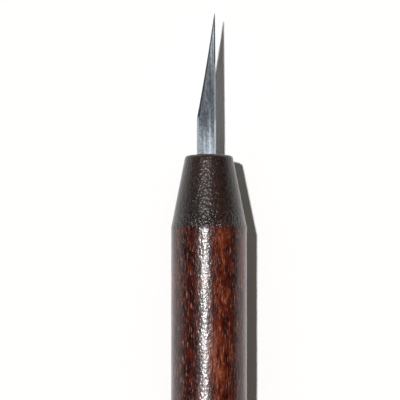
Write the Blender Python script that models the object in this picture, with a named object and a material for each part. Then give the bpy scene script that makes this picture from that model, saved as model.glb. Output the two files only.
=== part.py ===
"""Cutout knife: a narrow pointed steel blade glued into a turned hardwood handle.

Metres, +Z up. The knife lies on its side along Y with the point towards +Y. The origin is on the
ground, under the middle of the knife's length. Pieces are modelled about the handle's own axis,
with Z towards the point and zero at the front face of the nose, and then laid down together.
"""

import math

import bmesh
import bpy

# Handle: a dowel with a conical nose
HANDLE_LENGTH = 0.127
HANDLE_DIAMETER = 0.0127
NOSE_LENGTH = 0.0121
NOSE_WALL = 0.00135
NOSE_EDGE_ROUND = 0.0006
MOST_WALL_ROUNDED = 0.8
BUTT_EDGE_ROUND = 0.0026

# Blade: a strip with bevelled edges, ground on one side to a slanted edge and thinned towards the point
BLADE_REACH = 0.0238
BLADE_WIDTH = 0.0032
BLADE_THICKNESS = 0.00064
BLADE_SIDE_SHIFT = 0.00043
HEEL_LENGTH = 0.0061
GRIND_RUNOUT = 0.0005
EDGE_HOLLOW = 0.0001
STRIP_BEVEL_ANGLE = math.radians(46)
GRIND_BEVEL_ANGLE = math.radians(42)
MOST_WIDTH_BEVELLED = 0.9
POINT_WIDTH = 0.00012
POINT_THICKNESS = 0.0003
POINT_DROP = 0.00017

# Tang: the hidden end of the strip, notched along both edges
TANG_LENGTH = 0.032
NOTCH_COUNT = 3
NOTCH_FIRST_DEPTH = 0.009
NOTCH_PITCH = 0.008
NOTCH_LENGTH = 0.0016
NOTCH_DEPTH = 0.0004

# Bond: the epoxy between tang and socket
BOND_WALL = 0.00035
BOND_FLOOR = 0.0012
BOND_CROWN = 0.00022
CROWN_FLAT_SHARE = 0.5
BOND_GAP = 0.0001
DRILL_POINT_ANGLE = math.radians(118)

# Fineness of the faceted shapes
TURNED_SIDES = 32
ROUND_STEPS = 5
EDGE_STATIONS = 10
MERGE_DISTANCE = 1e-6
SHARP_ANGLE = math.radians(30)

# Finishes: colour, roughness and metallic
WOOD_FINISH = ((0.112, 0.027, 0.015), 0.28, 0.0)
STEEL_FINISH = ((0.46, 0.48, 0.50), 0.34, 1.0)
EPOXY_FINISH = ((0.050, 0.028, 0.014), 0.22, 0.0)

# Sizes that follow from the ones above
HANDLE_RADIUS = HANDLE_DIAMETER / 2
SPINE_X = BLADE_WIDTH / 2 - BLADE_SIDE_SHIFT
EDGE_X = -BLADE_WIDTH / 2 - BLADE_SIDE_SHIFT
CAVITY_REACH = math.hypot(max(SPINE_X, -EDGE_X) + BOND_GAP, BLADE_THICKNESS / 2 + BOND_GAP)
BOND_RADIUS = CAVITY_REACH + BOND_WALL
BOND_DEPTH = TANG_LENGTH + BOND_GAP + BOND_FLOOR
SOCKET_RADIUS = BOND_RADIUS + BOND_GAP
SOCKET_DEPTH = BOND_DEPTH + BOND_GAP
NOSE_RADIUS = SOCKET_RADIUS + NOSE_WALL
NOSE_FACE_Y = (HANDLE_LENGTH - BLADE_REACH) / 2


def clear_scene():
    for item in list(bpy.data.objects):
        bpy.data.objects.remove(item, do_unlink=True)


def finish_material(name, finish):
    colour, roughness, metallic = finish
    material = bpy.data.materials.new(name)
    material.use_nodes = True
    shader = material.node_tree.nodes["Principled BSDF"]
    shader.inputs["Base Color"].default_value = (*colour, 1)
    shader.inputs["Roughness"].default_value = roughness
    shader.inputs["Metallic"].default_value = metallic
    return material


def add_piece(name, shape, parent):
    """Turn a bmesh into a named object that is laid down with the handle's axis."""
    bmesh.ops.recalc_face_normals(shape, faces=shape.faces)
    mesh = bpy.data.meshes.new(name)
    shape.to_mesh(mesh)
    shape.free()
    mesh.shade_smooth()
    mesh.set_sharp_from_angle(angle=SHARP_ANGLE)
    piece = bpy.data.objects.new(name, mesh)
    bpy.context.scene.collection.objects.link(piece)
    piece.parent = parent
    return piece


def arc(centre, radius, start, end):
    """Points of an arc in a turned profile, as (distance from the axis, height)."""
    angles = [start + (end - start) * step / ROUND_STEPS for step in range(ROUND_STEPS + 1)]
    return [(centre[0] + radius * math.cos(a), centre[1] + radius * math.sin(a)) for a in angles]


def turned(profile):
    """Spin a profile round the axis, with a flat underneath and every flat touching the true round."""
    half_step = math.pi / TURNED_SIDES
    shape = bmesh.new()
    points = []
    for radius, height in profile:
        corner = radius / math.cos(half_step)
        points.append(shape.verts.new((corner * math.cos(half_step), corner * math.sin(half_step), height)))
    edges = [shape.edges.new(pair) for pair in zip(points, points[1:])]
    bmesh.ops.spin(
        shape, geom=points + edges, axis=(0, 0, 1), cent=(0, 0, 0), angle=math.tau, steps=TURNED_SIDES
    )
    bmesh.ops.remove_doubles(shape, verts=shape.verts, dist=MERGE_DISTANCE)
    return shape


def drill_point(radius):
    """Height of the cone that a drill leaves at the bottom of a hole."""
    return radius / math.tan(DRILL_POINT_ANGLE / 2)


def handle_shape():
    """The dowel: socket from the bottom up, then the nose, the shaft and the butt."""
    taper = math.atan2(HANDLE_RADIUS - NOSE_RADIUS, NOSE_LENGTH)
    nose_round = min(NOSE_EDGE_ROUND, MOST_WALL_ROUNDED * NOSE_WALL)
    nose_centre = (NOSE_RADIUS - nose_round * (1 - math.sin(taper)) / math.cos(taper), -nose_round)
    butt_centre = (HANDLE_RADIUS - BUTT_EDGE_ROUND, -HANDLE_LENGTH + BUTT_EDGE_ROUND)
    profile = [
        (0, -SOCKET_DEPTH - drill_point(SOCKET_RADIUS)),
        (SOCKET_RADIUS, -SOCKET_DEPTH),
        (SOCKET_RADIUS, 0),
        *arc(nose_centre, nose_round, math.pi / 2, taper),
        (HANDLE_RADIUS, -NOSE_LENGTH),
        *arc(butt_centre, BUTT_EDGE_ROUND, 0, -math.pi / 2),
        (0, -HANDLE_LENGTH),
    ]
    return turned(profile)


def bond_shape():
    """The epoxy as it fills the socket, with a low crown at the nose, before the tang is cut out of it."""
    profile = [
        (0, BOND_CROWN),
        (CROWN_FLAT_SHARE * BOND_RADIUS, BOND_CROWN),
        (BOND_RADIUS, 0),
        (BOND_RADIUS, -BOND_DEPTH),
        (0, -BOND_DEPTH - drill_point(BOND_RADIUS)),
    ]
    return turned(profile)


def section(edge_x, spine_x, half_thickness, edge_angle):
    """Outline of the strip across its length, as (x, y) from the edge over the top and back below."""
    spread = 1 / math.tan(edge_angle) + 1 / math.tan(STRIP_BEVEL_ANGLE)
    half = min(half_thickness, MOST_WIDTH_BEVELLED * (spine_x - edge_x) / spread)
    top = [
        (edge_x, 0),
        (edge_x + half / math.tan(edge_angle), half),
        (spine_x - half / math.tan(STRIP_BEVEL_ANGLE), half),
        (spine_x, 0),
    ]
    below = [(x, -y) for x, y in reversed(top[1:-1])]
    return top + below


def tang_sections(grow, top, bottom):
    """The notched strip between two heights, grown on every side to leave room round it."""
    half = BLADE_THICKNESS / 2 + grow
    heights = [(top, 0)]
    for notch in range(NOTCH_COUNT):
        middle = -NOTCH_FIRST_DEPTH - notch * NOTCH_PITCH
        heights += [(middle + NOTCH_LENGTH / 2, 0), (middle, NOTCH_DEPTH), (middle - NOTCH_LENGTH / 2, 0)]
    heights.append((bottom, 0))
    sections = []
    for height, inset in heights:
        outline = section(EDGE_X - grow + inset, SPINE_X + grow - inset, half, STRIP_BEVEL_ANGLE)
        sections.append((height, outline))
    return sections


def ground_sections():
    """The ground part of the blade, from its heel to the point."""
    sections = []
    point_edge_x = SPINE_X - POINT_DROP - POINT_WIDTH
    for station in range(EDGE_STATIONS + 1):
        share = station / EDGE_STATIONS
        height = HEEL_LENGTH + (BLADE_REACH - HEEL_LENGTH) * share
        hollow = 4 * EDGE_HOLLOW * share * (1 - share)
        edge_x = EDGE_X + (point_edge_x - EDGE_X) * share + hollow
        spine_x = SPINE_X - POINT_DROP * share
        thickness = BLADE_THICKNESS + (POINT_THICKNESS - BLADE_THICKNESS) * share
        sections.append((height, section(edge_x, spine_x, thickness / 2, GRIND_BEVEL_ANGLE)))
    return sections


def lofted(sections):
    """Skin a row of sections of equal point count and close both ends."""
    shape = bmesh.new()
    rings = []
    for height, outline in sections:
        rings.append([shape.verts.new((x, y, height)) for x, y in outline])
    for lower, upper in zip(rings, rings[1:]):
        for index, corner in enumerate(lower):
            before = index - 1
            shape.faces.new((lower[before], corner, upper[index], upper[before]))
    shape.faces.new(rings[0])
    shape.faces.new(rings[-1])
    return shape


def blade_shape():
    tang = tang_sections(0, HEEL_LENGTH - GRIND_RUNOUT, -TANG_LENGTH)
    return lofted(list(reversed(tang)) + ground_sections())


def tang_cavity_shape():
    """The space that the tang and its clearance take out of the epoxy."""
    return lofted(tang_sections(BOND_GAP, BOND_CROWN + BOND_GAP, -TANG_LENGTH - BOND_GAP))


def lay_down_axis():
    """Empty on the handle's axis that turns the upright pieces to lie along Y on the ground."""
    axis = bpy.data.objects.new("knife_axis", None)
    axis.location = (0, NOSE_FACE_Y, HANDLE_RADIUS)
    axis.rotation_euler = (-math.pi / 2, 0, 0)
    bpy.context.scene.collection.objects.link(axis)
    return axis


def build_knife():
    axis = lay_down_axis()

    handle = add_piece("handle", handle_shape(), axis)
    handle.data.materials.append(finish_material("varnished_wood", WOOD_FINISH))

    blade = add_piece("blade", blade_shape(), axis)
    blade.data.materials.append(finish_material("ground_steel", STEEL_FINISH))

    cavity = add_piece("tang_cavity", tang_cavity_shape(), axis)
    cavity.hide_render = True
    cavity.display_type = "WIRE"

    bond = add_piece("tang_bond", bond_shape(), axis)
    bond.data.materials.append(finish_material("cured_epoxy", EPOXY_FINISH))
    cut = bond.modifiers.new("tang_cut", "BOOLEAN")
    cut.operation = "DIFFERENCE"
    cut.solver = "EXACT"
    cut.object = cavity


clear_scene()
build_knife()
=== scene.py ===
import math

import bmesh
import bpy
from mathutils import Matrix, Vector, noise


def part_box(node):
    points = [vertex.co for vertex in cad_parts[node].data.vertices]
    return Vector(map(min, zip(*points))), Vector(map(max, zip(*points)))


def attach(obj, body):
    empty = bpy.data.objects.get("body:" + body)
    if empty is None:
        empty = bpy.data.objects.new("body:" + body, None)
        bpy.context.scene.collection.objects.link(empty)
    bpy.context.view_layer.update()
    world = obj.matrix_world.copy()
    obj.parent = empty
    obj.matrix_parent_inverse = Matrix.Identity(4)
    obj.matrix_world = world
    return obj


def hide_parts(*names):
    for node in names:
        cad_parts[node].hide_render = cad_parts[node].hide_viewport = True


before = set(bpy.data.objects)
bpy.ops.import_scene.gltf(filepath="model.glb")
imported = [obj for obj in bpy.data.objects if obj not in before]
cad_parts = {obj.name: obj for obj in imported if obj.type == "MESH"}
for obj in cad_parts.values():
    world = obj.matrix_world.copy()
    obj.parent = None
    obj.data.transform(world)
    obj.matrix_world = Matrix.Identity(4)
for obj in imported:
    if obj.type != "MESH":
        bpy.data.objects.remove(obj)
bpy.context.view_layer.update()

# The table and the view
# The knife lies on a wide white table in a dim room, under one small bright lamp to its left.
# It is seen from almost straight above, with its point up the picture and its butt out of the frame.
handle_low, handle_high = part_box("handle")
HANDLE_RADIUS = (handle_high.z - handle_low.z) / 2
AXIS_HEIGHT = handle_low.z + HANDLE_RADIUS
NOSE_FACE_Y = handle_high.y
BUTT_Y = handle_low.y

PICTURE_PIXELS = 400
HANDLE_WIDTH_PIXELS = 76
AXIS_PIXEL_X = 209
NOSE_FACE_PIXEL_Y = 155.2
PIXEL_SIZE = 2 * HANDLE_RADIUS / HANDLE_WIDTH_PIXELS
PICTURE_CENTRE = Vector((
    (PICTURE_PIXELS / 2 - AXIS_PIXEL_X) * PIXEL_SIZE,
    NOSE_FACE_Y - (PICTURE_PIXELS / 2 - NOSE_FACE_PIXEL_Y) * PIXEL_SIZE,
    AXIS_HEIGHT,
))


def place_overhead(item, lean_x, lean_y, distance):
    """Aim a camera or lamp at the picture's centre from overhead, with its top towards the point."""
    outward = Vector((math.tan(lean_x), math.tan(lean_y), 1)).normalized()
    upward = (Vector((0, 1, 0)) - outward * outward.y).normalized()
    item.matrix_world = Matrix((upward.cross(outward), upward, outward)).transposed().to_4x4()
    item.location = PICTURE_CENTRE + outward * distance
    bpy.context.scene.collection.objects.link(item)


CAMERA_DISTANCE = 0.9
CAMERA_LEAN_X = math.radians(-2.5)
CAMERA_LEAN_Y = math.radians(-3.5)

camera_data = bpy.data.cameras.new("camera")
camera_data.lens = camera_data.sensor_width * CAMERA_DISTANCE / (PICTURE_PIXELS * PIXEL_SIZE)
camera = bpy.data.objects.new("camera", camera_data)
place_overhead(camera, CAMERA_LEAN_X, CAMERA_LEAN_Y, CAMERA_DISTANCE)
bpy.context.scene.camera = camera
bpy.context.scene.view_settings.view_transform = "Standard"

LAMP_DISTANCE = 2.0
LAMP_LEAN_X = math.radians(-15.9)
LAMP_LEAN_Y = math.radians(7)
LAMP_ANGLE = math.radians(2.4)
LAMP_STRENGTH = 3.0

lamp_data = bpy.data.lights.new("lamp", "SUN")
lamp_data.angle = LAMP_ANGLE
lamp_data.energy = LAMP_STRENGTH
lamp = bpy.data.objects.new("lamp", lamp_data)
place_overhead(lamp, LAMP_LEAN_X, LAMP_LEAN_Y, LAMP_DISTANCE)


def feed(tree, socket, source):
    """Link an input to another node's output, or give it a plain value."""
    if isinstance(source, bpy.types.NodeSocket):
        tree.links.new(source, socket)
    else:
        socket.default_value = source


def calculate(tree, operation, *terms):
    """Output of a sum or another operation on plain values and other nodes' outputs."""
    node = tree.nodes.new("ShaderNodeMath")
    node.operation = operation
    for socket, term in zip(node.inputs, terms):
        feed(tree, socket, term)
    return node.outputs["Value"]


def soft_step(tree, value, low, high, to_low=0.0, to_high=1.0):
    """Value that changes smoothly from to_low to to_high, while another goes from low to high."""
    node = tree.nodes.new("ShaderNodeMapRange")
    node.interpolation_type = "SMOOTHSTEP"
    names = ("Value", "From Min", "From Max", "To Min", "To Max")
    for name, source in zip(names, (value, low, high, to_low, to_high)):
        feed(tree, node.inputs[name], source)
    return node.outputs["Result"]


def blend_colours(tree, share, first, second):
    """Colour that changes from the first to the second as a share goes from 0 to 1."""
    node = tree.nodes.new("ShaderNodeMix")
    node.data_type = "RGBA"
    sockets = {socket.identifier: socket for socket in (*node.inputs, *node.outputs)}
    feed(tree, sockets["Factor_Float"], share)
    feed(tree, sockets["A_Color"], first)
    feed(tree, sockets["B_Color"], second)
    return sockets["Result_Color"]


def place_parts(tree, kind):
    """Outputs X, Y and Z of a texture coordinate."""
    coordinate = tree.nodes.new("ShaderNodeTexCoord")
    split = tree.nodes.new("ShaderNodeSeparateXYZ")
    tree.links.new(coordinate.outputs[kind], split.inputs["Vector"])
    return split.outputs


# The room is dim overhead, lighter towards its two ends, and white low down, where the far wall
# carries on the table.
ROOM_DIM = (0.045, 0.045, 0.045, 1)
ROOM_ENDS = (0.330, 0.300, 0.255, 1)
ROOM_ENDS_FROM = 0.45
ROOM_ENDS_TO = 0.80
FAR_WALL_WHITE = (1, 1, 1, 1)
FAR_WALL_LOW = 0.036
FAR_WALL_HIGH = 0.05

world = bpy.data.worlds.new("room")
world.use_nodes = True
bpy.context.scene.world = world
room = world.node_tree
room_way = place_parts(room, "Generated")
room_end = soft_step(room, calculate(room, "ABSOLUTE", room_way["Y"]), ROOM_ENDS_FROM, ROOM_ENDS_TO)
room_colour = blend_colours(room, room_end, ROOM_DIM, ROOM_ENDS)
above_wall = soft_step(room, room_way["Z"], FAR_WALL_LOW, FAR_WALL_HIGH)
room_colour = blend_colours(room, above_wall, FAR_WALL_WHITE, room_colour)
room.links.new(room_colour, room.nodes["Background"].inputs["Color"])


def new_material(name):
    """A material with its node tree and its main shader."""
    material = bpy.data.materials.new(name)
    material.use_nodes = True
    return material, material.node_tree, material.node_tree.nodes["Principled BSDF"]


TABLE_HALF = 12.0
TABLE_WHITE = (0.98, 0.98, 0.98, 1)

table_mesh = bpy.data.meshes.new("table_top")
table_corners = [(-1, -1), (1, -1), (1, 1), (-1, 1)]
table_points = [(x * TABLE_HALF, y * TABLE_HALF, handle_low.z) for x, y in table_corners]
table_mesh.from_pydata(table_points, [], [(0, 1, 2, 3)])
table_top = bpy.data.objects.new("table_top", table_mesh)
bpy.context.scene.collection.objects.link(table_top)

table_white, tree, shader = new_material("table_white")
shader.inputs["Base Color"].default_value = TABLE_WHITE
shader.inputs["Roughness"].default_value = 1
shader.inputs["Specular IOR Level"].default_value = 0

# From below the table is clear, so that the knife's underside can be seen.
table_side = tree.nodes.new("ShaderNodeNewGeometry")
clear = tree.nodes.new("ShaderNodeBsdfTransparent")
either_side = tree.nodes.new("ShaderNodeMixShader")
tree.links.new(table_side.outputs["Backfacing"], either_side.inputs["Fac"])
tree.links.new(shader.outputs["BSDF"], either_side.inputs[1])
tree.links.new(clear.outputs["BSDF"], either_side.inputs[2])
tree.links.new(either_side.outputs["Shader"], tree.nodes["Material Output"].inputs["Surface"])
table_mesh.materials.append(table_white)

# The handle
# A hardwood dowel, turned to a cone at the front, drilled for the blade and rounded at the butt.
# It is stained red-brown and varnished twice, and the cone's cut grain drinks the stain nearly black.
NOSE_LENGTH = 0.0121
NOSE_WALL = 0.00135
NOSE_DOME = 0.00006
NOSE_EDGE_ROUND = 0.0006
BUTT_EDGE_ROUND = 0.0026
SOCKET_GAP = 0.0001
SOCKET_DEPTH = 0.0334
HANDLE_SIDES = 288
ROUND_STEPS = 10
NOSE_RING_SPACING = 0.00014
SHAFT_RING_SPACING = 0.0005
SHARP_ANGLE = math.radians(20)

bond_low, bond_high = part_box("tang_bond")
SOCKET_RADIUS = (bond_high.z - bond_low.z) / 2 + SOCKET_GAP
NOSE_RADIUS = SOCKET_RADIUS + NOSE_WALL
NOSE_END_Y = NOSE_FACE_Y - NOSE_LENGTH


def between(start, end, share):
    """Value that lies a share of the way from start to end."""
    return start + (end - start) * share


def arc(centre, radius, start, end):
    """Points of an arc in a turned profile, as (distance from the axis, place along Y)."""
    angles = [between(start, end, step / ROUND_STEPS) for step in range(ROUND_STEPS + 1)]
    return [(centre[0] + radius * math.cos(a), centre[1] + radius * math.sin(a)) for a in angles]


def run(start, end, spacing):
    """Evenly spaced profile points from start up to, but without, end."""
    steps = max(1, round(math.dist(start, end) / spacing))
    shares = [step / steps for step in range(steps)]
    return [tuple(between(a, b, share) for a, b in zip(start, end)) for share in shares]


def turned_rings(profile, sides, relief):
    """Turn a profile round the knife's axis, sinking each point by what relief gives for it."""
    rings = []
    for radius, along in profile:
        ring = []
        for side in range(sides):
            angle = math.tau * side / sides
            spot = Vector((radius * math.sin(angle), along, radius * math.cos(angle)))
            reach = 1 - relief(spot) / radius
            ring.append((spot.x * reach, along, AXIS_HEIGHT + spot.z * reach))
        rings.append(ring)
    return rings


def skinned_mesh(name, rings, ends_joined=False):
    """Skin rings of equal point count, with the ends capped or the last ring joined to the first."""
    count = len(rings[0])
    points = [point for ring in rings for point in ring]
    faces = []
    for index in range(len(rings) if ends_joined else len(rings) - 1):
        here = index * count
        there = (index + 1) % len(rings) * count
        for side in range(count):
            after = (side + 1) % count
            faces.append((here + side, here + after, there + after, there + side))
    if not ends_joined:
        faces += [tuple(range(count)), tuple(range(len(points) - count, len(points)))]
    mesh = bpy.data.meshes.new(name)
    mesh.from_pydata(points, [], faces)
    shape = bmesh.new()
    shape.from_mesh(mesh)
    bmesh.ops.recalc_face_normals(shape, faces=shape.faces)
    shape.to_mesh(mesh)
    shape.free()
    mesh.shade_smooth()
    mesh.set_sharp_from_angle(angle=SHARP_ANGLE)
    return mesh


def add_piece(name, mesh, material, node):
    """Put a finished mesh in the place of its solid."""
    piece = bpy.data.objects.new(name, mesh)
    bpy.context.scene.collection.objects.link(piece)
    mesh.materials.append(material)
    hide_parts(node)
    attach(piece, "root")


PIT_DEPTH = 0.000045
PIT_SIZE = 0.00045
WAVE_DEPTH = 0.000045
WAVE_WIDTH = 0.0016
WAVE_LENGTH = 0.0034
RELIEF_FADE = 0.0006


def unevenness(spot, width, length):
    """Noise of a width across the knife and a length along it, from 0 to 1."""
    return (1 + noise.noise(Vector((spot.x / width, spot.y / length, spot.z / width)))) / 2


def handle_relief(spot):
    """Depth of the uneven surface: fine pits on the cone, shallow waves on the shaft."""
    fade = min(1, abs(spot.y - NOSE_END_Y) / RELIEF_FADE)
    if spot.y > NOSE_END_Y:
        return PIT_DEPTH * fade * unevenness(spot, PIT_SIZE, PIT_SIZE)
    return WAVE_DEPTH * fade * unevenness(spot, WAVE_WIDTH, WAVE_LENGTH)


nose_taper = math.atan2(HANDLE_RADIUS - NOSE_RADIUS, NOSE_LENGTH)
nose_round_r = NOSE_RADIUS - NOSE_EDGE_ROUND * (1 - math.sin(nose_taper)) / math.cos(nose_taper)
nose_round_y = NOSE_FACE_Y - NOSE_DOME - NOSE_EDGE_ROUND
nose_round = arc((nose_round_r, nose_round_y), NOSE_EDGE_ROUND, math.pi / 2, nose_taper)
butt_centre = (HANDLE_RADIUS - BUTT_EDGE_ROUND, BUTT_Y + BUTT_EDGE_ROUND)
butt_round = arc(butt_centre, BUTT_EDGE_ROUND, 0, -math.pi / 2)
socket_mouth = (SOCKET_RADIUS, NOSE_FACE_Y)
nose_end = (HANDLE_RADIUS, NOSE_END_Y)
handle_profile = [
    (SOCKET_RADIUS, NOSE_FACE_Y - SOCKET_DEPTH),
    *run(socket_mouth, nose_round[0], NOSE_RING_SPACING),
    *nose_round[:-1],
    *run(nose_round[-1], nose_end, NOSE_RING_SPACING),
    *run(nose_end, butt_round[0], SHAFT_RING_SPACING),
    *butt_round[:-1],
    *run(butt_round[-1], (0, BUTT_Y), SHAFT_RING_SPACING),
]
handle_mesh = skinned_mesh("handle_wood", turned_rings(handle_profile, HANDLE_SIDES, handle_relief))

# Streaks along the knife, as grain makes in the wood and grinding on the steel: noise drawn out
# along Y. Each streak size is a width and a length in metres and a seed, and the detail if it
# isn't the usual one.
STREAK_INPUTS = ("Width", "Length", "Seed", "Detail")
STREAK_USUAL_DETAIL = 2.0
STREAK_MIDDLE = 0.5

streak_group = bpy.data.node_groups.new("lengthwise_streaks", "ShaderNodeTree")
for socket_name in STREAK_INPUTS:
    streak_group.interface.new_socket(socket_name, in_out="INPUT", socket_type="NodeSocketFloat")
streak_group.interface.new_socket("Streaks", in_out="OUTPUT", socket_type="NodeSocketFloat")
streak_in = streak_group.nodes.new("NodeGroupInput")
streak_out = streak_group.nodes.new("NodeGroupOutput")
streak_place = streak_group.nodes.new("ShaderNodeTexCoord")
streak_size = streak_group.nodes.new("ShaderNodeCombineXYZ")
streak_divide = streak_group.nodes.new("ShaderNodeVectorMath")
streak_divide.operation = "DIVIDE"
streak_noise = streak_group.nodes.new("ShaderNodeTexNoise")
streak_noise.noise_dimensions = "4D"
streak_noise.inputs["Scale"].default_value = 1
for axis, socket_name in zip("XYZ", ("Width", "Length", "Width")):
    streak_group.links.new(streak_in.outputs[socket_name], streak_size.inputs[axis])
streak_group.links.new(streak_place.outputs["Object"], streak_divide.inputs[0])
streak_group.links.new(streak_size.outputs["Vector"], streak_divide.inputs[1])
streak_group.links.new(streak_divide.outputs["Vector"], streak_noise.inputs["Vector"])
streak_group.links.new(streak_in.outputs["Seed"], streak_noise.inputs["W"])
streak_group.links.new(streak_in.outputs["Detail"], streak_noise.inputs["Detail"])
streak_group.links.new(streak_noise.outputs["Fac"], streak_out.inputs["Streaks"])


def streaks(tree, width, length, seed, detail=STREAK_USUAL_DETAIL):
    """Streaks of one size, from 0 to 1 and mostly near the middle."""
    node = tree.nodes.new("ShaderNodeGroup")
    node.node_tree = streak_group
    for name, value in zip(STREAK_INPUTS, (width, length, seed, detail)):
        node.inputs[name].default_value = value
    return node.outputs["Streaks"]


def swing(tree, base, streak, amount):
    """Let a value swing about its base as streaks swing about their middle."""
    off_middle = calculate(tree, "SUBTRACT", streak, STREAK_MIDDLE)
    return calculate(tree, "MULTIPLY_ADD", off_middle, amount, base)


def ease(tree, share, first, second):
    """Value that changes smoothly from the first to the second as a share goes from 0 to 1."""
    return soft_step(tree, share, 0, 1, first, second)


def colour_ramp(tree, value, stops):
    """Colours met in turn as a value rises, given as (value, colour)."""
    node = tree.nodes.new("ShaderNodeValToRGB")
    ramp = node.color_ramp
    for position, colour in stops[1:-1]:
        ramp.elements.new(position)
    for element, (position, colour) in zip(ramp.elements, stops):
        element.position = position
        element.color = (*colour, 1)
    feed(tree, node.inputs["Fac"], value)
    return node.outputs["Color"]


def add_bump(tree, shader, height):
    """Bump from a height in metres."""
    node = tree.nodes.new("ShaderNodeBump")
    node.inputs["Strength"].default_value = 1
    node.inputs["Distance"].default_value = 1
    feed(tree, node.inputs["Height"], height)
    tree.links.new(node.outputs["Normal"], shader.inputs["Normal"])


VARNISH_IOR = 1.43
TOP_COAT_WEIGHT = 0.8
TOP_COAT_IOR = 1.22
TOP_COAT_ROUGHNESS = 0.33

wood, tree, shader = new_material("stained_hardwood")
shader.inputs["IOR"].default_value = VARNISH_IOR
shader.inputs["Coat Weight"].default_value = TOP_COAT_WEIGHT
shader.inputs["Coat IOR"].default_value = TOP_COAT_IOR
shader.inputs["Coat Roughness"].default_value = TOP_COAT_ROUGHNESS
place = place_parts(tree, "Object")

# Growth rings about the pith of the plank that the dowel was cut from
PITH_X = 0.026
PITH_Z = -0.020
RING_WIDTH = 0.0026
RING_START = 1.07
RING_WANDER = 0.9
RING_WANDER_SIZE = (0.005, 0.030, 1.0)

across_x = calculate(tree, "SUBTRACT", place["X"], PITH_X)
across_z = calculate(tree, "SUBTRACT", place["Z"], PITH_Z)
square_x = calculate(tree, "MULTIPLY", across_x, across_x)
from_pith = calculate(tree, "SQRT", calculate(tree, "MULTIPLY_ADD", across_z, across_z, square_x))
ring_place = calculate(tree, "ADD", calculate(tree, "DIVIDE", from_pith, RING_WIDTH), RING_START)
wander = streaks(tree, *RING_WANDER_SIZE)
ring_place = calculate(tree, "MULTIPLY_ADD", wander, RING_WANDER, ring_place)
ring = calculate(tree, "PINGPONG", ring_place, 1.0)

# Figure of the shaft: layers of streaks, each with its size and its weight in the tone
WOOD_TONES = [
    (0.0, (0.014, 0.0008, 0.0004)),
    (0.25, (0.036, 0.0028, 0.0010)),
    (0.45, (0.068, 0.0080, 0.0026)),
    (0.65, (0.114, 0.0170, 0.0046)),
    (0.85, (0.180, 0.038, 0.013)),
    (1.0, (0.290, 0.088, 0.048)),
]
TONE_START = -2.04
RING_WEIGHT = 0.44
FIGURE_LAYERS = {
    "patch": ((0.0011, 0.0042, 19.0), 1.5),
    "mottle": ((0.00048, 0.0013, 9.0), 1.3),
    "fibre": ((0.00020, 0.0024, 3.0), 1.1),
    "grit": ((0.00015, 0.00034, 14.0), 0.5),
}
figure = {}
tone = calculate(tree, "MULTIPLY_ADD", ring, RING_WEIGHT, TONE_START)
for name, (size, weight) in FIGURE_LAYERS.items():
    figure[name] = streaks(tree, *size)
    tone = calculate(tree, "MULTIPLY_ADD", figure[name], weight, tone)
colour = colour_ramp(tree, tone, WOOD_TONES)

# Sparse marks on the shaft: streak size, where they begin and are full, strength and colour
WOOD_MARKS = {
    "fleck": ((0.00042, 0.0018, 36.0), 0.62, 0.73, 0.75, (0.42, 0.14, 0.085, 1)),
    # The pale dashes are partly pale grain and partly painted glints: specks of the varnish's
    # highlight painted into the colour.
    "grain_dash_and_glint": ((0.00018, 0.0012, 7.0), 0.58, 0.70, 0.6, (0.34, 0.215, 0.185, 1)),
    "pore": ((0.00016, 0.0010, 4.0), 0.64, 0.74, 0.25, (0.006, 0.002, 0.002, 1)),
}
marks = {}
for name, (size, begin, full, strength, mark_colour) in WOOD_MARKS.items():
    marks[name] = soft_step(tree, streaks(tree, *size), begin, full)
    mark_share = calculate(tree, "MULTIPLY", marks[name], strength)
    colour = blend_colours(tree, mark_share, colour, mark_colour)

# Dark stain on the cut grain of the cone and the butt, ending in an uneven line at the cone's base
STAIN_EDGE = 0.00024
STAIN_CREEP = 0.0016
STAIN_REACH = 0.0001
TORN_LENGTH = 0.0034
END_GRAIN_TONES = [(0.475, (0.0065, 0.0042, 0.0034)), (0.855, (0.034, 0.0125, 0.0080))]
END_GRAIN_RING = 0.25
SPECKLE_SIZE = (0.00034, 0.00044, 23.0, 1.0)
RUB_SIZE = (0.00020, 0.00026, 10.0)
RUB_BEGIN = 0.66
RUB_FULL = 0.76
RUB_MORE_WHERE_TORN = 0.07
RUB_STRENGTH = 0.6
RUB_COLOUR = (0.15, 0.135, 0.12, 1)
BUTT_TONES = [
    (0.05, (0.012, 0.0040, 0.0026)),
    (0.35, (0.050, 0.0140, 0.0070)),
    (0.65, (0.125, 0.044, 0.020)),
]
LATE_WOOD_DARK = 0.55
LATE_WOOD_POWER = 3.0
BUTT_RINGS_PER_BAND = 2.0

stain_line = calculate(tree, "MULTIPLY_ADD", figure["mottle"], STAIN_CREEP, place["Y"])
stain_start = NOSE_END_Y - STAIN_REACH + STAIN_CREEP * STREAK_MIDDLE
nose_dark = soft_step(tree, stain_line, stain_start - STAIN_EDGE, stain_start + STAIN_EDGE)
butt_dark = soft_step(tree, place["Y"], BUTT_Y + BUTT_EDGE_ROUND, BUTT_Y)
end_grain = calculate(tree, "MAXIMUM", nose_dark, butt_dark)
torn = soft_step(tree, place["Y"], NOSE_END_Y + TORN_LENGTH, NOSE_END_Y)

speckle = streaks(tree, *SPECKLE_SIZE)
end_tone = calculate(tree, "MULTIPLY_ADD", ring, END_GRAIN_RING, speckle)
end_colour = colour_ramp(tree, end_tone, END_GRAIN_TONES)
rub = calculate(tree, "MULTIPLY_ADD", torn, RUB_MORE_WHERE_TORN, streaks(tree, *RUB_SIZE))
rubbed = soft_step(tree, rub, RUB_BEGIN, RUB_FULL, 0.0, RUB_STRENGTH)
end_colour = blend_colours(tree, rubbed, end_colour, RUB_COLOUR)

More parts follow.
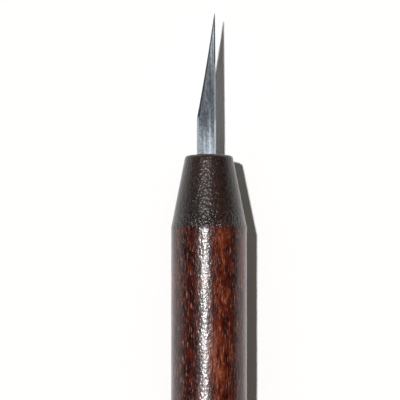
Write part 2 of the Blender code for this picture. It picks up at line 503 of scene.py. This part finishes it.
butt_ring = calculate(tree, "FRACT", calculate(tree, "MULTIPLY", ring_place, BUTT_RINGS_PER_BAND))
late_wood = calculate(tree, "POWER", butt_ring, LATE_WOOD_POWER)
butt_tone = calculate(tree, "MULTIPLY_ADD", late_wood, -LATE_WOOD_DARK, speckle)
end_colour = blend_colours(tree, butt_dark, end_colour, colour_ramp(tree, butt_tone, BUTT_TONES))
tree.links.new(blend_colours(tree, end_grain, colour, end_colour), shader.inputs["Base Color"])

# Gloss of the varnish, and the unevenness that it leaves: ripples and pores on the shaft, and
# raised, nicked grain on the cone, torn most at its base
SHAFT_ROUGHNESS = 0.255
SHAFT_ROUGHNESS_SWING = 0.12
NOSE_ROUGHNESS = 0.33
TORN_ROUGHNESS = 0.19
BUTT_ROUGHNESS = 0.30
PEEL_SIZE = (0.00043, 0.00052, 6.0, 1.0)
PEEL_DEPTH = 0.000070
PORE_DEPTH = 0.00003
GRAIN_DEPTH = 0.000125
TORN_DEPTH = 0.00025
BUTT_DEPTH = 0.00004
NICK_SIZE = (0.00034, 0.00046, 17.0, 0.0)
NICK_BEGIN = 0.62
NICK_FULL = 0.74
NICK_DEPTH = 0.000035

end_roughness = ease(tree, torn, NOSE_ROUGHNESS, TORN_ROUGHNESS)
end_roughness = ease(tree, butt_dark, end_roughness, BUTT_ROUGHNESS)
roughness = ease(tree, end_grain, SHAFT_ROUGHNESS, end_roughness)
roughness = swing(tree, roughness, figure["patch"], SHAFT_ROUGHNESS_SWING)
tree.links.new(roughness, shader.inputs["Roughness"])

peel = calculate(tree, "MULTIPLY", streaks(tree, *PEEL_SIZE), PEEL_DEPTH)
peel = calculate(tree, "MULTIPLY_ADD", marks["pore"], -PORE_DEPTH, peel)
grain_depth = ease(tree, torn, GRAIN_DEPTH, TORN_DEPTH)
grain_depth = ease(tree, butt_dark, grain_depth, BUTT_DEPTH)
grain = calculate(tree, "MULTIPLY", speckle, grain_depth)
nick = soft_step(tree, streaks(tree, *NICK_SIZE), NICK_BEGIN, NICK_FULL)
grain = calculate(tree, "MULTIPLY_ADD", nick, -NICK_DEPTH, grain)
add_bump(tree, shader, ease(tree, end_grain, peel, grain))

add_piece("handle_wood", handle_mesh, wood, "handle")

# The blade
# A strip of spring steel with bevelled edges, ground from its heel to a slanted edge and a thin point.
# Its other end is a plain tang with notches, which runs deep into the handle's socket.
blade_low, blade_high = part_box("blade")
EDGE_X = blade_low.x
SPINE_X = blade_high.x
POINT_Y = blade_high.y
TANG_END_Y = blade_low.y
BLADE_WIDTH = SPINE_X - EDGE_X
BLADE_THICKNESS = blade_high.z - blade_low.z
HEEL_LENGTH = 0.0061
GRIND_RUNOUT = 0.0005
EDGE_HOLLOW = 0.0001
POINT_WIDTH = 0.00012
POINT_THICKNESS = 0.0003
POINT_DROP = 0.00017
NOTCH_COUNT = 3
NOTCH_FIRST_DEPTH = 0.009
NOTCH_PITCH = 0.008
NOTCH_LENGTH = 0.0016
NOTCH_INSET = 0.0004

# How far each edge slants in, as a share of half the thickness, and the shares of the ground length
# at which that changes
STRIP_SPREAD = 0.95
EDGE_SPREAD = 1.12
SPINE_SPREAD = 1.09
POINT_SPREAD = 1.22
GRIND_DEEPENS_WITHIN = 0.02
POINT_SPREADS_FROM = 0.50
POINT_SPREADS_WITHIN = 0.06

# The flat keeps a share of the width, and a narrow lip along each bevel keeps its shading even
LEAST_FLAT_SHARE = 0.1
FLAT_LIP = 0.00003
MOST_LIP_SHARE = 1 / 3
RIM_STEPS = 6
EDGE_STATIONS = 60


def strip_section(along, edge_x, spine_x, half, edge_spread, spine_spread):
    """Points round the strip at one place along Y, from its edge over the top and back below."""
    half = min(half, (1 - LEAST_FLAT_SHARE) * (spine_x - edge_x) / (edge_spread + spine_spread))
    edge_depth = half * edge_spread
    spine_depth = half * spine_spread
    flat = spine_x - spine_depth - edge_x - edge_depth
    lip = min(FLAT_LIP, MOST_LIP_SHARE * flat)
    rises = [step / RIM_STEPS for step in range(RIM_STEPS + 1)]
    top = [(edge_x + edge_depth * rise, half * rise) for rise in rises]
    top += [(edge_x + edge_depth + lip, half), (spine_x - spine_depth - lip, half)]
    top += [(spine_x - spine_depth * rise, half * rise) for rise in reversed(rises)]
    outline = top + [(x, -height) for x, height in reversed(top[1:-1])]
    return [(x, along, AXIS_HEIGHT + height) for x, height in outline]


def tang_sections():
    """The plain strip, from the tang's end past the notches to where the grinding starts."""
    half = BLADE_THICKNESS / 2
    half_notch = NOTCH_LENGTH / 2
    places = [(TANG_END_Y, 0)]
    for notch in reversed(range(NOTCH_COUNT)):
        middle = NOSE_FACE_Y - NOTCH_FIRST_DEPTH - notch * NOTCH_PITCH
        places += [(middle - half_notch, 0), (middle, NOTCH_INSET), (middle + half_notch, 0)]
    places += [(NOSE_FACE_Y, 0), (NOSE_FACE_Y + HEEL_LENGTH - GRIND_RUNOUT, 0)]
    sections = []
    for along, inset in places:
        edge_x = EDGE_X + inset
        spine_x = SPINE_X - inset
        heel_share = max(0, along - NOSE_FACE_Y) / HEEL_LENGTH
        spine_spread = between(STRIP_SPREAD, SPINE_SPREAD, heel_share)
        sections.append(strip_section(along, edge_x, spine_x, half, STRIP_SPREAD, spine_spread))
    return sections


def ground_sections():
    """The ground part of the blade, from its heel to the point."""
    sections = []
    heel_y = NOSE_FACE_Y + HEEL_LENGTH
    point_edge_x = SPINE_X - POINT_DROP - POINT_WIDTH
    for station in range(EDGE_STATIONS + 1):
        share = station / EDGE_STATIONS
        hollow = 4 * EDGE_HOLLOW * share * (1 - share)
        edge_x = between(EDGE_X, point_edge_x, share) + hollow
        spine_x = SPINE_X - POINT_DROP * share
        half = between(BLADE_THICKNESS, POINT_THICKNESS, share) / 2
        deepened = min(1, share / GRIND_DEEPENS_WITHIN)
        pointed = min(1, max(0, share - POINT_SPREADS_FROM) / POINT_SPREADS_WITHIN)
        edge_spread = between(STRIP_SPREAD, EDGE_SPREAD, deepened)
        spine_spread = between(SPINE_SPREAD, POINT_SPREAD, pointed)
        along = between(heel_y, POINT_Y, share)
        sections.append(strip_section(along, edge_x, spine_x, half, edge_spread, spine_spread))
    return sections


blade_mesh = skinned_mesh("blade_steel", tang_sections() + ground_sections())

# Steel colours and gloss, with the places where they change given as distances out of the nose
# Both steel colours carry a blue tint that is a painted reflection of cool light, over the steel's own
# grey.
STEEL_BRIGHT = (0.56, 0.62, 0.68, 1)
STEEL_DULL = (0.38, 0.44, 0.50, 1)
GRIND_SIZE = (0.00030, 0.006, 11.0)
SMEAR_SIZE = (0.0006, 0.003, 12.0)
SPECK_SIZE = (0.00026, 0.00034, 13.0)
DULL_BELOW = 0.7
BRIGHT_ABOVE = 1.3
GROUND_ROUGHNESS = 0.155
ROLLED_ROUGHNESS = 0.226
ROLLED_FULL = -0.00122
ROLLED_END = 0.00854
WHETTED_ROUGHNESS = 0.222
WHETTED_FROM = 0.01159
WHETTED_FULL = 0.02074
SCUFF_X = 0.00013
SCUFF_WIDTH = 0.00024
SCUFF_FULL = 0.00427
SCUFF_END = 0.00976
SCUFF_ADDED_ROUGHNESS = 0.060
GRIND_ROUGHNESS_SWING = 0.08
SPECK_ROUGHNESS_SWING = 0.13
SCRATCH_DEPTH = 0.0000016
SPECK_DEPTH_SHARE = 0.6

steel, tree, shader = new_material("ground_steel")
shader.inputs["Metallic"].default_value = 1
place = place_parts(tree, "Object")
out_of_nose = calculate(tree, "SUBTRACT", place["Y"], NOSE_FACE_Y)
grind = streaks(tree, *GRIND_SIZE)
smear = streaks(tree, *SMEAR_SIZE)
speck = streaks(tree, *SPECK_SIZE)
brightness = soft_step(tree, calculate(tree, "ADD", grind, smear), DULL_BELOW, BRIGHT_ABOVE)
tree.links.new(blend_colours(tree, brightness, STEEL_DULL, STEEL_BRIGHT), shader.inputs["Base Color"])

rolled = soft_step(tree, out_of_nose, ROLLED_END, ROLLED_FULL)
whetted = soft_step(tree, out_of_nose, WHETTED_FROM, WHETTED_FULL)
from_scuff = calculate(tree, "ABSOLUTE", calculate(tree, "SUBTRACT", place["X"], SCUFF_X))
scuff = soft_step(tree, from_scuff, SCUFF_WIDTH, 0)
scuff = calculate(tree, "MULTIPLY", scuff, soft_step(tree, out_of_nose, SCUFF_END, SCUFF_FULL))
roughness = ease(tree, rolled, GROUND_ROUGHNESS, ROLLED_ROUGHNESS)
roughness = calculate(tree, "MULTIPLY_ADD", whetted, WHETTED_ROUGHNESS - GROUND_ROUGHNESS, roughness)
roughness = calculate(tree, "MULTIPLY_ADD", scuff, SCUFF_ADDED_ROUGHNESS, roughness)
roughness = swing(tree, roughness, grind, GRIND_ROUGHNESS_SWING)
roughness = swing(tree, roughness, speck, SPECK_ROUGHNESS_SWING)
tree.links.new(roughness, shader.inputs["Roughness"])
scratches = calculate(tree, "MULTIPLY_ADD", speck, SPECK_DEPTH_SHARE, grind)
add_bump(tree, shader, calculate(tree, "MULTIPLY", scratches, SCRATCH_DEPTH))

add_piece("blade_steel", blade_mesh, steel, "blade")

# The glue
# Epoxy poured into the socket round the tang, where it set to a clear amber with a few bubbles.
# It fills the hole to the rim of the wood and climbs the steel a little where the blade comes out.
CROWN_HEIGHT = bond_high.y - NOSE_FACE_Y
GLUE_DEPTH = SOCKET_DEPTH - SOCKET_GAP
GLUE_CLEARANCE = 0.00001
GLUE_SIDES = 240
CROWN_RINGS = 12


def glue_loop(share, rise):
    """Loop between the blade's outline (share 0) and the socket's wall (share 1)."""
    loop = []
    middle_x = (EDGE_X + SPINE_X) / 2
    half_width = BLADE_WIDTH / 2 + GLUE_CLEARANCE
    half_thickness = BLADE_THICKNESS / 2 + GLUE_CLEARANCE
    wall = SOCKET_RADIUS - GLUE_CLEARANCE
    for side in range(GLUE_SIDES):
        angle = math.tau * side / GLUE_SIDES
        cosine = math.cos(angle)
        sine = math.sin(angle)
        reach = half_width / (abs(cosine) + STRIP_SPREAD * abs(sine))
        if reach * abs(sine) > half_thickness:
            reach = half_thickness / abs(sine)
        inner = Vector((reach * cosine + middle_x, reach * sine))
        outer = Vector((wall * cosine, wall * sine))
        spot = inner.lerp(outer, share)
        loop.append((spot.x, NOSE_FACE_Y + rise, AXIS_HEIGHT + spot.y))
    return loop


glue_loops = [glue_loop(0, -GLUE_DEPTH)]
for crown_ring in range(CROWN_RINGS + 1):
    share = crown_ring / CROWN_RINGS
    glue_loops.append(glue_loop(share, CROWN_HEIGHT * (1 - share) ** 2))
glue_loops.append(glue_loop(1, -GLUE_DEPTH))
glue_mesh = skinned_mesh("tang_glue", glue_loops, ends_joined=True)

GLUE_DARK = (0.036, 0.018, 0.008, 1)
GLUE_AMBER = (0.085, 0.042, 0.014, 1)
CLOUD_SIZE = (0.0016, 0.0016, 21.0, 1.0)
CLOUD_LOW = 0.3
CLOUD_HIGH = 0.7
CLOUD_DEPTH = 0.00006
GLUE_SMOOTHEST = 0.10
GLUE_ROUGHEST = 0.20
BUBBLE_SIZE = (0.00018, 0.00018, 22.0, 0.0)
BUBBLE_BEGIN = 0.72
BUBBLE_FULL = 0.80
BUBBLE_COLOUR = (0.16, 0.10, 0.05, 1)
BUBBLE_HEIGHT = 0.000012

glue, tree, shader = new_material("amber_epoxy")
cloud = streaks(tree, *CLOUD_SIZE)
bubble = soft_step(tree, streaks(tree, *BUBBLE_SIZE), BUBBLE_BEGIN, BUBBLE_FULL)
colour = blend_colours(tree, soft_step(tree, cloud, CLOUD_LOW, CLOUD_HIGH), GLUE_DARK, GLUE_AMBER)
tree.links.new(blend_colours(tree, bubble, colour, BUBBLE_COLOUR), shader.inputs["Base Color"])
roughness = soft_step(tree, cloud, CLOUD_LOW, CLOUD_HIGH, GLUE_SMOOTHEST, GLUE_ROUGHEST)
tree.links.new(roughness, shader.inputs["Roughness"])
height = calculate(tree, "MULTIPLY", cloud, CLOUD_DEPTH)
add_bump(tree, shader, calculate(tree, "MULTIPLY_ADD", bubble, BUBBLE_HEIGHT, height))

add_piece("tang_glue", glue_mesh, glue, "tang_bond")
